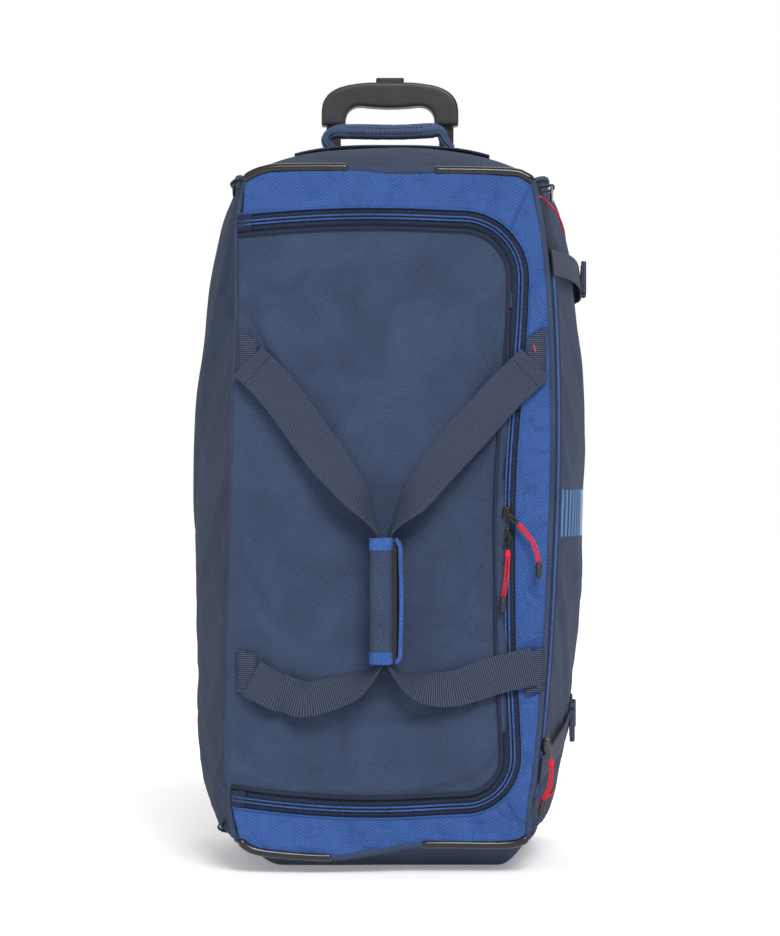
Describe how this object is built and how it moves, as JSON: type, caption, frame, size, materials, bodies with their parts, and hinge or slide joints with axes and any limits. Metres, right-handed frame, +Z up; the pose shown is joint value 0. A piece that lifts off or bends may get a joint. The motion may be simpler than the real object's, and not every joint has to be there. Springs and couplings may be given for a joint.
{
  "type": "rolling duffel bag",
  "caption": "Tall wheeled duffel bag standing on end, with a zipped U-shaped front lid, webbing carry handles in a wrap grip, side pocket, top grab handle and telescopic trolley",
  "frame": {"origin": "centre of the bag's own box, on the floor", "axes": "+Z up, the lid faces -Y, wheels and trolley at +Y, +X to the viewer's right when facing the lid"},
  "size_m": [0.3894, 0.3966, 0.789],
  "materials": {
    "navy_fabric": "matte",
    "blue_fabric": "satin",
    "navy_webbing": "matte",
    "zip_tape": "matte",
    "red_cord": "matte",
    "black_plastic": "satin",
    "gloss_rail": "gloss",
    "dark_metal": "satin",
    "tube_metal": "satin",
    "wheel_rubber": "matte"
  },
  "bodies": {
    "bag": {"left_side_panel": "navy_fabric", "right_side_panel": "navy_fabric", "top_end_panel": "navy_fabric", "bottom_end_panel": "navy_fabric", "back_panel": "navy_fabric", "side_pocket": "navy_fabric", "side_zip_tape": "zip_tape", "zip_tape_body": "zip_tape", "surround_top": "blue_fabric", "surround_right": "blue_fabric", "surround_bottom": "blue_fabric", "rail_top_left": "gloss_rail", "piping_top": "navy_fabric", "rail_top_right": "gloss_rail", "rail_bottom_left": "gloss_rail", "piping_bottom": "navy_fabric", "rail_bottom_right": "gloss_rail", "piping_right": "navy_webbing", "anchor_tab_upper_right": "navy_webbing", "anchor_tab_lower_right": "navy_webbing", "compression_strap_top": "navy_webbing", "compression_strap_bottom": "navy_webbing", "ring_tab": "navy_webbing", "grab_handle_strip": "navy_webbing", "trolley_outer_tube_left": "tube_metal", "trolley_outer_tube_right": "tube_metal", "trolley_bezel": "black_plastic", "trolley_board": "black_plastic", "trolley_foot_bracket": "black_plastic", "axle_left": "dark_metal", "axle_right": "dark_metal", "wheel_housing_left": "black_plastic", "wheel_housing_right": "black_plastic", "back_skid_left": "black_plastic", "back_skid_right": "black_plastic", "front_foot": "black_plastic"},
    "lid": {"lid_panel": "navy_fabric", "zip_tape_lid": "zip_tape"},
    "left_handle": {"carry_strap_left": "navy_webbing", "wrap_grip": "navy_fabric", "anchor_tab_upper_left": "navy_webbing", "anchor_tab_lower_left": "navy_webbing"},
    "right_handle": {"carry_strap_right": "navy_webbing"},
    "slider_upper": {"slider_upper": "black_plastic"},
    "slider_lower": {"slider_lower": "black_plastic"},
    "slider_side": {"slider_side": "dark_metal"},
    "pull_upper": {"pull_upper": "red_cord"},
    "pull_lower": {"pull_lower": "red_cord"},
    "pull_side": {"pull_side": "red_cord"},
    "lashing_ring": {"lashing_ring": "dark_metal"},
    "grab_handle": {"grab_handle": "navy_fabric"},
    "trolley_middle": {"trolley_middle_stage": "tube_metal"},
    "trolley_inner": {"trolley_inner_tube_left": "tube_metal", "trolley_inner_tube_right": "tube_metal", "trolley_grip": "black_plastic"},
    "trolley_button": {"trolley_button": "black_plastic"},
    "wheel_left": {"wheel_tyre_left": "wheel_rubber", "wheel_hub_left": "black_plastic"},
    "wheel_right": {"wheel_tyre_right": "wheel_rubber", "wheel_hub_right": "black_plastic"}
  },
  "joints": [
    {"name": "lid_hinge", "type": "hinge", "parent": "bag", "child": "lid", "pos_m": [-0.15089, -0.1495, 0.34], "axis": [0, 0, -1], "range_deg": [0, 110], "deforming": ["carry_strap_right"]},
    {"name": "left_handle_hinge", "type": "hinge", "parent": "bag", "child": "left_handle", "pos_m": [-0.15089, -0.1495, 0.34], "axis": [0, 0, -1], "range_deg": [0, 110]},
    {"name": "right_handle_hinge", "type": "hinge", "parent": "bag", "child": "right_handle", "pos_m": [0.15061, -0.157, 0.34], "axis": [0, 0, 1], "range_deg": [0, 110]},
    {"name": "main_slider_upper_run", "type": "slide", "parent": "bag", "child": "slider_upper", "axis": [0, 0, 1], "range_m": [0, 0.05]},
    {"name": "main_slider_lower_run", "type": "slide", "parent": "bag", "child": "slider_lower", "axis": [0, 0, -1], "range_m": [0, 0.03]},
    {"name": "side_slider_run", "type": "slide", "parent": "bag", "child": "slider_side", "axis": [0.0995, 0, 0.995], "range_m": [0, 0.04]},
    {"name": "pull_upper_swing", "type": "hinge", "parent": "slider_upper", "child": "pull_upper", "pos_m": [0.10862, -0.1695, 0.34], "axis": [0, -1, 0], "range_deg": [0, 60]},
    {"name": "pull_lower_swing", "type": "hinge", "parent": "slider_lower", "child": "pull_lower", "pos_m": [0.10843, -0.1695, 0.321], "axis": [0, 1, 0], "range_deg": [-8, 35]},
    {"name": "pull_side_swing", "type": "hinge", "parent": "slider_side", "child": "pull_side", "pos_m": [0.14661, -0.15, 0.121], "axis": [0, -1, 0], "range_deg": [0, 30]},
    {"name": "lashing_ring_swing", "type": "hinge", "parent": "bag", "child": "lashing_ring", "pos_m": [0.15157, -0.12774, 0.65091], "axis": [0, -1, 0], "range_deg": [0, 80]},
    {"name": "grab_handle_flop", "type": "hinge", "parent": "bag", "child": "grab_handle", "pos_m": [-0.00228, 0.01526, 0.7083], "axis": [1, 0, 0], "range_deg": [-50, 50]},
    {"name": "trolley_stage_one", "type": "slide", "parent": "bag", "child": "trolley_middle", "axis": [0, 0, 1], "range_m": [0, 0.18]},
    {"name": "trolley_stage_two", "type": "slide", "parent": "trolley_middle", "child": "trolley_inner", "axis": [0, 0, 1], "range_m": [0, 0.18]},
    {"name": "trolley_button_press", "type": "slide", "parent": "trolley_inner", "child": "trolley_button", "axis": [0, 0, -1], "range_m": [0, 0.003], "stiffness_N_per_m": 400},
    {"name": "wheel_left_spin", "type": "hinge", "parent": "bag", "child": "wheel_left", "pos_m": [-0.11828, 0.16326, 0.035], "axis": [1, 0, 0], "continuous": true},
    {"name": "wheel_right_spin", "type": "hinge", "parent": "bag", "child": "wheel_right", "pos_m": [0.11372, 0.16326, 0.035], "axis": [1, 0, 0], "continuous": true}
  ],
  "couplings": [
    {"joint": "left_handle_hinge", "follows": "lid_hinge", "ratio": 1},
    {"joint": "right_handle_hinge", "follows": "lid_hinge", "ratio": 1}
  ]
}
